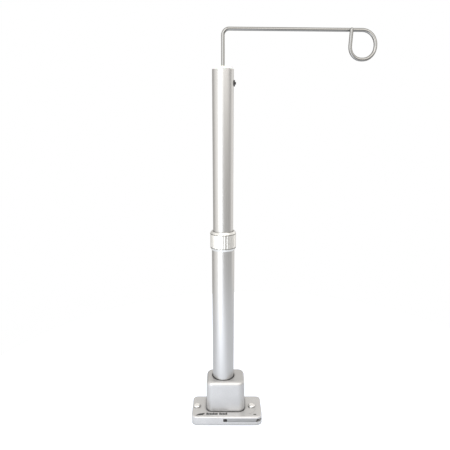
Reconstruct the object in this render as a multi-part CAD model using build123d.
from build123d import *
import math
import os

# A drip stand for a flat surface: a base with a quick-release clamp, a foot that slides into it from
# the back, a two-stage telescopic pole with a twist collar, and a wire arm that ends in a bag loop.
# Millimetres. The pole's axis is the Z axis, the base stands on Z = 0, its front faces -Y, and the
# arm points along +X.

# Base housing. Its centre is off the pole's axis.
BASE_X = 4.25
BASE_Y = -7.2
BASE_WIDTH = 84.4
BASE_DEPTH = 44.4
BASE_HEIGHT = 12.0
BASE_CORNER_FRONT = 7.5
BASE_CORNER_REAR = 5.5
BASE_TOP_ROUND = 1.8
BASE_BOTTOM_ROUND = 0.9
BASE_FRONT = BASE_Y - BASE_DEPTH / 2
BASE_REAR = BASE_Y + BASE_DEPTH / 2
BASE_RIGHT = BASE_X + BASE_WIDTH / 2

# Cover plate, let into the underside of the housing
COVER_THICKNESS = 3.0
COVER_RIM = 2.0
COVER_CORNER = 5.0
COVER_FIT = 0.1

# Foot block: a drafted block that stands a little past the rear of the base
FOOT_X = 2.7
FOOT_Y = -0.7
FOOT_TOP_WIDTH = 45.6
FOOT_TOP_DEPTH = 35.0
FOOT_TOP_Z = 51.2
FOOT_DRAFT = 0.4
FOOT_CORNER = 8.0
FOOT_TOP_ROUND = 4.8
FOOT_GAP = 1.0
FOOT_FLOOR = 6.0

# Tongue under the foot block, and the T slot that it slides in
SLOT_ROOF_Z = 8.4
TONGUE_CLEARANCE = 0.15
TONGUE_WING = 3.0
TONGUE_FRONT = -19.0
TONGUE_CORNER = 5.0
TONGUE_BOTTOM_Z = COVER_THICKNESS + TONGUE_CLEARANCE
TONGUE_TOP_Z = SLOT_ROOF_Z - TONGUE_CLEARANCE
FOOT_BOTTOM_Z = TONGUE_TOP_Z
FOOT_WIDTH = FOOT_TOP_WIDTH + 2 * FOOT_DRAFT
FOOT_DEPTH = FOOT_TOP_DEPTH + 2 * FOOT_DRAFT
FOOT_REAR = FOOT_Y + FOOT_DEPTH / 2
TONGUE_WIDTH = FOOT_WIDTH + 2 * TONGUE_WING
SLOT_SIDE_FIT = 0.2
SLOT_FRONT_FIT = 0.3

# Release lever: an eccentric eye on a pin, and a flat arm that lies flush in the front slot
LEVER_SLOT_Z = 5.1
LEVER_SLOT_HEIGHT = 4.0
LEVER_THICKNESS = 3.5
LEVER_PIVOT_X = 8.0
LEVER_PIVOT_Y = -24.7
LEVER_EYE_RADIUS = 4.7
LEVER_ECCENTRICITY = 0.9
LEVER_HEEL_X = 4.5
LEVER_TIP_X = 40.0
LEVER_ROOT_WIDTH = 7.5
LEVER_TIP_WIDTH = 6.0
LEVER_FLUSH = 0.1
LEVER_SWEEP = 6.1
LEVER_RELIEF_X = 0.0
LEVER_CAVITY_REAR = -21.3
FINGER_CUT_X = 35.0
FINGER_CUT_REAR = -13.5
PIN_RADIUS = 1.5
PIN_RUNNING_FIT = 0.05
PIN_TOP_Z = 10.4

# Screws through the housing into the cover plate (M4, plain domed head, hex socket in the tip)
SCREW_XS = (-32.2, 34.8)
SCREW_Y = BASE_Y
SCREW_RADIUS = 2.0
SCREW_HEAD_RADIUS = 4.3
SCREW_HEAD_HEIGHT = 2.6
SCREW_HEAD_ROUND = 1.9
SCREW_SOCKET_RADIUS = 1.15
SCREW_SOCKET_DEPTH = 2.5
SCREW_TIP_Z = 0.6

# Fasteners of the foot
TONGUE_SCREW_SPREAD_X = 17.0
TONGUE_SCREW_SPREAD_Y = 12.5
TONGUE_SCREW_TIP_Z = 18.0
FOOT_BOLT_RADIUS = 4.0
FOOT_BOLT_HEAD_RADIUS = 6.5
FOOT_BOLT_HEAD = 3.8
FOOT_BOLT_TIP_Z = 30.5
WASHER_THICKNESS = 1.0

# Telescopic tubes: one-inch tube outside, seven-eighths tube inside
LOWER_RADIUS = 12.7
LOWER_BORE = 11.4
LOWER_BOTTOM_Z = FOOT_BOTTOM_Z + FOOT_FLOOR
LOWER_TOP_Z = 225.8
LOWER_LIP_RADIUS = 11.25
LOWER_LIP_HEIGHT = 1.2
LOWER_PLUG_LENGTH = 18.0
SOCKET_RADIUS = 12.75
SOCKET_MOUTH_RADIUS = 13.6
SOCKET_MOUTH_DEPTH = 5.0
UPPER_RADIUS = 11.1
UPPER_BORE = 9.7
UPPER_BOTTOM_Z = 196.0
UPPER_TOP_Z = 399.3

# Twist collar on the thread at the top of the lower tube
COLLAR_BOTTOM_Z = 211.0
COLLAR_TOP_Z = 232.2
COLLAR_RADIUS = 14.4
COLLAR_BOTTOM_RADIUS = 13.1
COLLAR_TOP_RADIUS = 12.9
COLLAR_BOTTOM_TAPER = 2.6
COLLAR_TOP_TAPER = 2.2
COLLAR_GROOVE_WIDTH = 0.9
COLLAR_GROOVE_DEPTH = 0.8
COLLAR_FLUTES = 28
COLLAR_FLUTE_RADIUS = 1.4
COLLAR_FLUTE_DEPTH = 0.28
THREAD_RADIUS = 12.35
THREAD_START_Z = 213.7
THREAD_FIT = 0.1
RING_CHAMBER_RADIUS = 13.0
RING_CONE_Z = 227.4
RING_TOP_Z = 230.6
RING_SLIT = 1.0

# Guide at the foot of the upper tube
PLUG_LENGTH = 16.0
PLUG_FLANGE = 2.0
SPIGOT_RADIUS = 6.0
SPIGOT_LENGTH = 14.0
GUIDE_RADIUS = 11.35
GUIDE_END_PLAY = 0.05
GUIDE_SCREW_RADIUS = 2.5
GUIDE_SCREW_HEAD_RADIUS = 4.6
GUIDE_SCREW_HEAD = 3.0
GUIDE_SCREW_LENGTH = 11.0

# Cap plug, its rivet, and the hook rod with its nut
CAP_BOTTOM_Z = 372.8
CAP_HEAD_RADIUS = 10.8
CAP_HEAD_HEIGHT = 2.4
RIVET_Z = 386.0
RIVET_RADIUS = 1.6
RIVET_FLANGE_RADIUS = 3.2
RIVET_FLANGE_REACH = 12.3
RIVET_STUB_RADIUS = 1.3
RIVET_STUB_REACH = 13.3
RIVET_INNER_X = 5.0
ROD_RADIUS = 1.8
ROD_BOTTOM_Z = 367.3
ROD_BEND = 6.0
ARM_Z = 436.65
ARM_FALL = 1.4
ROD_NUT_FLATS = 7.0
ROD_NUT_HEIGHT = 3.2

# Loop at the end of the arm, through the wire's centre line
LOOP_RIGHT_X = 151.9
LOOP_BOTTOM_Z = 408.1
LOOP_LEFT_X = 125.8
LOOP_END_X = 126.2
LOOP_END_Z = 435.1
LOOP_TOP_BEND = 14.4
LOOP_BOTTOM_BEND = 12.3
LOOP_OFFSETS_Y = (-1.0, -3.2, -4.4)

SLIP = 0.02


def cylinder(radius, z0, z1, x=0.0, y=0.0):
    """Upright cylinder from z0 to z1."""
    return Pos(x, y, z0) * extrude(Circle(radius), amount=z1 - z0)


def ring(outer, inner, z0, z1, x=0.0, y=0.0):
    """Upright tube from z0 to z1."""
    return cylinder(outer, z0, z1, x, y) - cylinder(inner, z0 - 1, z1 + 1, x, y)


def block(x0, x1, y0, y1, z0, z1):
    """Square-edged block between two corners."""
    centre = Pos((x0 + x1) / 2, (y0 + y1) / 2, (z0 + z1) / 2)
    return centre * Box(x1 - x0, y1 - y0, z1 - z0)


def rounded_outline(width, depth, front_round, rear_round):
    """Rectangle with its front and rear corners rounded."""
    outline = Rectangle(width, depth)
    if front_round:
        outline = fillet(outline.vertices().group_by(Axis.Y)[0], front_round)
    if rear_round:
        outline = fillet(outline.vertices().group_by(Axis.Y)[-1], rear_round)
    return outline


def revolved(points):
    """Solid of revolution about Z from (radius, z) points."""
    profile = make_face(Polyline(*[(r, 0, z) for r, z in points], close=True))
    return revolve(profile, Axis.Z)


def foot_outline(margin, z):
    """Plan outline of the foot block's foot, grown by a margin."""
    outline = rounded_outline(FOOT_WIDTH + 2 * margin, FOOT_DEPTH + 2 * margin, FOOT_CORNER + margin,
                              FOOT_CORNER + margin)
    return Pos(FOOT_X, FOOT_Y, z) * outline


def mount_housing():
    """Cast housing with the T slot for the foot, the lever slot and the screw holes."""
    outline = rounded_outline(BASE_WIDTH, BASE_DEPTH, BASE_CORNER_FRONT, BASE_CORNER_REAR)
    body = Pos(BASE_X, BASE_Y, 0) * extrude(outline, amount=BASE_HEIGHT)
    body = fillet(body.faces().sort_by(Axis.Z)[-1].edges(), BASE_TOP_ROUND)
    body = fillet(body.faces().sort_by(Axis.Z)[0].edges(), BASE_BOTTOM_ROUND)
    body -= cover_outline(COVER_FIT)
    body -= foot_window()
    body -= tongue_shape(SLOT_SIDE_FIT, SLOT_FRONT_FIT, COVER_THICKNESS - 0.5, SLOT_ROOF_Z, BASE_REAR + 1)
    body -= lever_cavity()
    body -= cylinder(PIN_RADIUS + SLIP, 0, PIN_TOP_Z, LEVER_PIVOT_X, LEVER_PIVOT_Y)
    for x in SCREW_XS:
        body -= cylinder(SCREW_RADIUS + 0.2, 0, BASE_HEIGHT + 1, x, SCREW_Y)
    return body


def foot_window():
    """U-shaped opening of the housing's top, round the foot block and open at the back."""
    window = extrude(foot_outline(FOOT_GAP, SLOT_ROOF_Z - 1), amount=BASE_HEIGHT)
    half = FOOT_WIDTH / 2 + FOOT_GAP
    behind = block(FOOT_X - half, FOOT_X + half, FOOT_Y, BASE_REAR + 5, SLOT_ROOF_Z - 1, BASE_HEIGHT + 5)
    return window + behind


def lever_cavity():
    """Slot that holds the closed lever, the lever eye's sweep and the finger cut at the corner."""
    z0 = LEVER_SLOT_Z
    z1 = LEVER_SLOT_Z + LEVER_SLOT_HEIGHT
    front = BASE_FRONT - 1
    cavity = cylinder(LEVER_SWEEP, z0, z1, LEVER_PIVOT_X, LEVER_PIVOT_Y)
    cavity += block(LEVER_RELIEF_X, LEVER_PIVOT_X, front, LEVER_PIVOT_Y, z0, z1)
    cavity += block(LEVER_PIVOT_X, BASE_RIGHT + 1, front, LEVER_CAVITY_REAR, z0, z1)
    finger_depth = FINGER_CUT_REAR - front
    finger = extrude(rounded_outline(2 * (BASE_RIGHT + 1 - FINGER_CUT_X), finger_depth, 0, 4.0),
                     amount=LEVER_SLOT_HEIGHT)
    return cavity + Pos(BASE_RIGHT + 1, front + finger_depth / 2, z0) * finger


def cover_outline(margin):
    """Solid that fills the recess of the cover plate, grown sideways by a margin."""
    inset = COVER_RIM - margin
    outline = rounded_outline(BASE_WIDTH - 2 * inset, BASE_DEPTH - 2 * inset, COVER_CORNER, COVER_CORNER)
    return Pos(BASE_X, BASE_Y, 0) * extrude(outline, amount=COVER_THICKNESS)


def cover_plate():
    """Steel plate that closes the underside, with two tapped holes and the lever pin's seat."""
    plate = cover_outline(0)
    for x in SCREW_XS:
        plate -= cylinder(SCREW_RADIUS + SLIP, -1, COVER_THICKNESS + 1, x, SCREW_Y)
    return plate - cylinder(PIN_RADIUS + SLIP, 1.0, COVER_THICKNESS + 1, LEVER_PIVOT_X, LEVER_PIVOT_Y)


def cross_recess(radius, depth, top_z):
    """Cross-shaped driver recess below top_z."""
    wing = block(-radius, radius, -radius / 4, radius / 4, top_z - depth, top_z + 1)
    return wing + Rot(0, 0, 90) * wing


def housing_screws():
    """The two screws that clamp the housing to its cover plate, turned from below."""
    head = cylinder(SCREW_HEAD_RADIUS, BASE_HEIGHT, BASE_HEIGHT + SCREW_HEAD_HEIGHT)
    head = fillet(head.edges().sort_by(Axis.Z)[-1], SCREW_HEAD_ROUND)
    shank = cylinder(SCREW_RADIUS, SCREW_TIP_Z, BASE_HEIGHT + 0.1)
    socket = Pos(0, 0, SCREW_TIP_Z) * extrude(RegularPolygon(SCREW_SOCKET_RADIUS, 6), amount=SCREW_SOCKET_DEPTH)
    return Compound([Pos(x, SCREW_Y, 0) * (head + shank - socket) for x in SCREW_XS])


def lever_pin():
    """Pin that the release lever turns on."""
    return cylinder(PIN_RADIUS, 1.0 + SLIP, PIN_TOP_Z - 0.1, LEVER_PIVOT_X, LEVER_PIVOT_Y)


def release_lever():
    """Cam lever: eccentric eye, and an arm flush with the front of the base."""
    face = BASE_FRONT + LEVER_FLUSH
    bottom = LEVER_SLOT_Z + (LEVER_SLOT_HEIGHT - LEVER_THICKNESS) / 2
    arm = make_face(Polyline((LEVER_HEEL_X, face, 0), (LEVER_TIP_X, face, 0),
                             (LEVER_TIP_X, face + LEVER_TIP_WIDTH, 0),
                             (LEVER_PIVOT_X, face + LEVER_ROOT_WIDTH, 0),
                             (LEVER_HEEL_X, LEVER_PIVOT_Y, 0), close=True))
    arm = fillet(arm.vertices().group_by(Axis.X)[-1], 2.0)
    eye = Pos(LEVER_PIVOT_X, LEVER_PIVOT_Y + LEVER_ECCENTRICITY, 0) * Circle(LEVER_EYE_RADIUS)
    lever = Pos(0, 0, bottom) * extrude(arm + eye, amount=LEVER_THICKNESS)
    hole = cylinder(PIN_RADIUS + PIN_RUNNING_FIT, 0, PIN_TOP_Z, LEVER_PIVOT_X, LEVER_PIVOT_Y)
    return lever - hole


def foot_block():
    """Drafted block with the pole's socket, tapped corners and the foot bolt's hole."""
    height = FOOT_TOP_Z - FOOT_BOTTOM_Z
    draft = math.degrees(math.atan(FOOT_DRAFT / height))
    body = extrude(foot_outline(0, FOOT_BOTTOM_Z), amount=height, taper=draft)
    body = fillet(body.faces().sort_by(Axis.Z)[-1].edges(), FOOT_TOP_ROUND)
    body -= cylinder(SOCKET_RADIUS, LOWER_BOTTOM_Z, FOOT_TOP_Z + 1)
    body -= cylinder(SOCKET_MOUTH_RADIUS, FOOT_TOP_Z - SOCKET_MOUTH_DEPTH, FOOT_TOP_Z + 1)
    body -= cylinder(FOOT_BOLT_RADIUS + 0.25, 0, LOWER_BOTTOM_Z + 1)
    for x, y in tongue_screw_places():
        body -= cylinder(SCREW_RADIUS + SLIP, 0, TONGUE_SCREW_TIP_Z + 0.5, x, y)
    return body


def tongue_screw_places():
    """Plan places of the tongue's four screws, about the foot block's centre."""
    return [(FOOT_X + sx * TONGUE_SCREW_SPREAD_X, FOOT_Y + sy * TONGUE_SCREW_SPREAD_Y)
            for sx in (-1, 1) for sy in (-1, 1)]


def tongue_shape(side_margin, front_margin, z0, z1, rear):
    """Plate of the tongue's plan, grown at the sides and front, from z0 to z1."""
    front = TONGUE_FRONT - front_margin
    outline = rounded_outline(TONGUE_WIDTH + 2 * side_margin, rear - front, TONGUE_CORNER, 0)
    return Pos(FOOT_X, (front + rear) / 2, z0) * extrude(outline, amount=z1 - z0)


def foot_tongue():
    """Plate under the foot block that slides in the housing's T slot."""
    plate = tongue_shape(0, 0, TONGUE_BOTTOM_Z, TONGUE_TOP_Z, FOOT_REAR)
    plate -= cylinder(FOOT_BOLT_HEAD_RADIUS + 0.5, 0, BASE_HEIGHT)
    for x, y in tongue_screw_places():
        plate -= Pos(x, y, 0) * countersunk_screw(SLIP)
    return plate


def countersunk_screw(margin):
    """Countersunk screw from the tongue's underside into the foot block, grown by a margin."""
    r = SCREW_RADIUS + margin
    head = 2 * SCREW_RADIUS + margin
    low = TONGUE_BOTTOM_Z + 0.1 - margin
    points = [(0, low), (head, low), (head, low + 0.3), (r, low + 0.3 + head - r)]
    points += [(r, TONGUE_SCREW_TIP_Z - 0.5), (r - 0.5, TONGUE_SCREW_TIP_Z), (0, TONGUE_SCREW_TIP_Z)]
    return revolved(points)


def tongue_screws():
    """The four screws that hold the tongue under the foot block."""
    screw = countersunk_screw(0)
    low = TONGUE_BOTTOM_Z + 0.1
    screw -= cylinder(SCREW_RADIUS * 0.62, low - 1, low + 1.4)
    return Compound([Pos(x, y, 0) * screw for x, y in tongue_screw_places()])


def foot_bolt():
    """Low-head bolt that pulls the lower tube down onto the floor of its socket."""
    seat = FOOT_BOTTOM_Z - WASHER_THICKNESS - SLIP
    head = cylinder(FOOT_BOLT_HEAD_RADIUS, seat - FOOT_BOLT_HEAD, seat)
    socket = Pos(0, 0, seat - FOOT_BOLT_HEAD) * extrude(RegularPolygon(2.9, 6), amount=2.4)
    shank = cylinder(FOOT_BOLT_RADIUS, seat - 0.1, FOOT_BOLT_TIP_Z)
    shank = chamfer(shank.edges().sort_by(Axis.Z)[-1], 1.0)
    return head + shank - socket


def foot_washer():
    """Washer between the foot bolt's head and the foot block."""
    return ring(FOOT_BOLT_HEAD_RADIUS, FOOT_BOLT_RADIUS + 0.2, FOOT_BOTTOM_Z - WASHER_THICKNESS,
                FOOT_BOTTOM_Z - SLIP)


def lower_tube_plug():
    """Tapped plug pressed into the bottom of the lower tube."""
    return ring(LOWER_BORE - SLIP, FOOT_BOLT_RADIUS + SLIP, LOWER_BOTTOM_Z + 0.3,
                LOWER_BOTTOM_Z + LOWER_PLUG_LENGTH)


def lower_tube():
    """Outer tube, turned down for the collar's thread, with a stop lip at its top."""
    tube = cylinder(LOWER_RADIUS, LOWER_BOTTOM_Z, THREAD_START_Z)
    tube += cylinder(THREAD_RADIUS, THREAD_START_Z, LOWER_TOP_Z)
    tube -= cylinder(LOWER_BORE, LOWER_BOTTOM_Z - 1, LOWER_TOP_Z - LOWER_LIP_HEIGHT)
    return tube - cylinder(LOWER_LIP_RADIUS, LOWER_BOTTOM_Z, LOWER_TOP_Z + 1)


def compression_ring():
    """Split nylon ring that the collar's cone squeezes onto the upper tube."""
    inner = UPPER_RADIUS + 0.1
    outer = RING_CHAMBER_RADIUS - 0.15
    points = [(inner, LOWER_TOP_Z + SLIP), (outer, LOWER_TOP_Z + SLIP), (outer, RING_CONE_Z),
              (inner + 0.3, RING_TOP_Z), (inner, RING_TOP_Z)]
    slit = block(0, LOWER_RADIUS + 5, -RING_SLIT / 2, RING_SLIT / 2, LOWER_TOP_Z - 1, RING_TOP_Z + 1)
    return revolved(points) - Rot(0, 0, 90) * slit


def lock_collar():
    """Twist collar: a fluted band between two grooves, a thread bore and a cone for the ring."""
    thread_bore = THREAD_RADIUS + THREAD_FIT
    mouth = UPPER_RADIUS + 0.4
    band_bottom = COLLAR_BOTTOM_Z + COLLAR_BOTTOM_TAPER
    band_top = COLLAR_TOP_Z - COLLAR_TOP_TAPER
    groove_radius = COLLAR_RADIUS - COLLAR_GROOVE_DEPTH
    points = [(LOWER_RADIUS + THREAD_FIT, COLLAR_BOTTOM_Z), (COLLAR_BOTTOM_RADIUS, COLLAR_BOTTOM_Z),
              (COLLAR_RADIUS, band_bottom), (groove_radius, band_bottom),
              (groove_radius, band_bottom + COLLAR_GROOVE_WIDTH),
              (COLLAR_RADIUS, band_bottom + COLLAR_GROOVE_WIDTH),
              (COLLAR_RADIUS, band_top - COLLAR_GROOVE_WIDTH),
              (groove_radius, band_top - COLLAR_GROOVE_WIDTH),
              (groove_radius, band_top), (COLLAR_RADIUS, band_top), (COLLAR_TOP_RADIUS, COLLAR_TOP_Z),
              (mouth, COLLAR_TOP_Z), (mouth, RING_TOP_Z + 0.4),
              (RING_CHAMBER_RADIUS, RING_CONE_Z + 0.2), (RING_CHAMBER_RADIUS, LOWER_TOP_Z - 0.3),
              (thread_bore, LOWER_TOP_Z - 0.3), (thread_bore, THREAD_START_Z + 0.4),
              (LOWER_RADIUS + THREAD_FIT, THREAD_START_Z + 0.4)]
    collar = revolved(points)
    reach = COLLAR_RADIUS + COLLAR_FLUTE_RADIUS - COLLAR_FLUTE_DEPTH
    flute = cylinder(COLLAR_FLUTE_RADIUS, COLLAR_BOTTOM_Z - 1, COLLAR_TOP_Z + 1, 0, -reach)
    for i in range(COLLAR_FLUTES):
        collar -= Rot(0, 0, (i + 0.25) * 360 / COLLAR_FLUTES) * flute
    return collar


def guide_ring():
    """Nylon ring on the bottom plug's spigot that slides in the lower tube."""
    top = UPPER_BOTTOM_Z - PLUG_FLANGE
    body = ring(GUIDE_RADIUS, SPIGOT_RADIUS + 0.05, top - SPIGOT_LENGTH + GUIDE_END_PLAY,
                top - GUIDE_END_PLAY)
    rims = body.edges().filter_by(GeomType.CIRCLE).group_by(SortBy.RADIUS)[-1]
    return chamfer(rims, 0.6)


def bottom_plug():
    """Plug in the foot of the upper tube, with a flange and a spigot for the guide ring."""
    flange = UPPER_BOTTOM_Z - PLUG_FLANGE
    plug = cylinder(UPPER_BORE - SLIP, UPPER_BOTTOM_Z, UPPER_BOTTOM_Z + PLUG_LENGTH)
    plug += cylinder(UPPER_RADIUS - 0.05, flange, UPPER_BOTTOM_Z)
    plug += cylinder(SPIGOT_RADIUS, flange - SPIGOT_LENGTH, flange)
    hole_top = flange - SPIGOT_LENGTH + GUIDE_SCREW_LENGTH + 1
    return plug - cylinder(GUIDE_SCREW_RADIUS + SLIP, 0, hole_top)


def guide_washer():
    """Washer that keeps the guide ring on its spigot."""
    top = UPPER_BOTTOM_Z - PLUG_FLANGE - SPIGOT_LENGTH
    return ring(SPIGOT_RADIUS + 3, GUIDE_SCREW_RADIUS + 0.2, top - WASHER_THICKNESS, top)


def guide_screw():
    """Screw that holds the guide washer, its head downwards."""
    seat = UPPER_BOTTOM_Z - PLUG_FLANGE - SPIGOT_LENGTH - WASHER_THICKNESS
    head = cylinder(GUIDE_SCREW_HEAD_RADIUS, 0, GUIDE_SCREW_HEAD)
    head = fillet(head.edges().sort_by(Axis.Z)[-1], GUIDE_SCREW_HEAD * 0.6)
    shank = cylinder(GUIDE_SCREW_RADIUS, -GUIDE_SCREW_LENGTH, 0.1)
    shank = chamfer(shank.edges().sort_by(Axis.Z)[0], GUIDE_SCREW_RADIUS / 4)
    recess = cross_recess(GUIDE_SCREW_HEAD_RADIUS * 0.52, GUIDE_SCREW_HEAD * 0.5, GUIDE_SCREW_HEAD)
    return Pos(0, 0, seat) * Rot(180, 0, 0) * (head + shank - recess)


def upper_tube():
    """Inner tube, with the rivet's hole near its top."""
    tube = ring(UPPER_RADIUS, UPPER_BORE, UPPER_BOTTOM_Z, UPPER_TOP_Z)
    tube = chamfer(tube.edges().group_by(Axis.Z)[-1], 0.3)
    return tube - rivet_cylinder(RIVET_RADIUS + SLIP, UPPER_BORE - 2, UPPER_RADIUS + 2)


def rivet_cylinder(radius, x0, x1):
    """Cylinder along +X at the rivet's height."""
    return Pos(x0, 0, RIVET_Z) * Rot(0, 90, 0) * extrude(Circle(radius), amount=x1 - x0)


def top_plug():
    """White cap plug with a domed head, bored for the hook rod and the rivet."""
    plug = cylinder(UPPER_BORE - SLIP, CAP_BOTTOM_Z, UPPER_TOP_Z)
    head = cylinder(CAP_HEAD_RADIUS, UPPER_TOP_Z, UPPER_TOP_Z + CAP_HEAD_HEIGHT)
    plug += fillet(head.edges().sort_by(Axis.Z)[-1], CAP_HEAD_HEIGHT * 0.8)
    plug -= cylinder(ROD_RADIUS + SLIP, CAP_BOTTOM_Z - 1, UPPER_TOP_Z + CAP_HEAD_HEIGHT + 1)
    return plug - rivet_cylinder(RIVET_RADIUS + SLIP, RIVET_INNER_X - 0.5, UPPER_RADIUS)


def plug_rivet():
    """Blind rivet through the tube's wall into the cap plug."""
    flange = rivet_cylinder(RIVET_FLANGE_RADIUS, UPPER_RADIUS - 0.6, RIVET_FLANGE_REACH)
    flange = chamfer(flange.edges().sort_by(Axis.X)[-1], 0.5)
    flange -= cylinder(UPPER_RADIUS + SLIP, RIVET_Z - 10, RIVET_Z + 10)
    stub = rivet_cylinder(RIVET_STUB_RADIUS, UPPER_RADIUS, RIVET_STUB_REACH)
    return flange + rivet_cylinder(RIVET_RADIUS, RIVET_INNER_X, UPPER_RADIUS + 0.5) + stub


def hook_rod():
    """One wire: upright stem, straight arm, and a loop whose end crosses in front of the arm."""
    right_y, left_y, end_y = LOOP_OFFSETS_Y
    route = [(0, 0, ROD_BOTTOM_Z), (0, 0, ARM_Z), (LOOP_RIGHT_X, 0, ARM_Z - ARM_FALL),
             (LOOP_RIGHT_X, right_y, LOOP_BOTTOM_Z), (LOOP_LEFT_X, left_y, LOOP_BOTTOM_Z),
             (LOOP_END_X, end_y, LOOP_END_Z)]
    bends = [ROD_BEND, LOOP_TOP_BEND, LOOP_BOTTOM_BEND, LOOP_BOTTOM_BEND]
    path = FilletPolyline(*route, radius=bends)
    rod = sweep(Plane(origin=path @ 0, z_dir=path % 0) * Circle(ROD_RADIUS), path=path)
    return rod + Pos(route[-1]) * Sphere(ROD_RADIUS)


def rod_washer():
    """Washer under the cap plug."""
    return ring(4.5, ROD_RADIUS + 0.1, CAP_BOTTOM_Z - WASHER_THICKNESS, CAP_BOTTOM_Z - SLIP)


def rod_nut():
    """Nut on the rod's thread under the cap plug."""
    top = CAP_BOTTOM_Z - WASHER_THICKNESS
    corner = ROD_NUT_FLATS / 2 / math.cos(math.pi / 6)
    nut = Pos(0, 0, top - ROD_NUT_HEIGHT) * extrude(RegularPolygon(corner, 6), amount=ROD_NUT_HEIGHT)
    return nut - cylinder(ROD_RADIUS + SLIP, top - ROD_NUT_HEIGHT - 1, top + 1)


PIECES = [mount_housing, cover_plate, housing_screws, lever_pin, release_lever, foot_block, foot_tongue,
          tongue_screws, foot_bolt, foot_washer, lower_tube_plug, lower_tube, compression_ring,
          lock_collar, guide_ring, bottom_plug, guide_washer, guide_screw, upper_tube, top_plug,
          plug_rivet, hook_rod, rod_washer, rod_nut]

os.makedirs("parts", exist_ok=True)
for piece in PIECES:
    export_step(piece(), f"parts/{piece.__name__}.step")
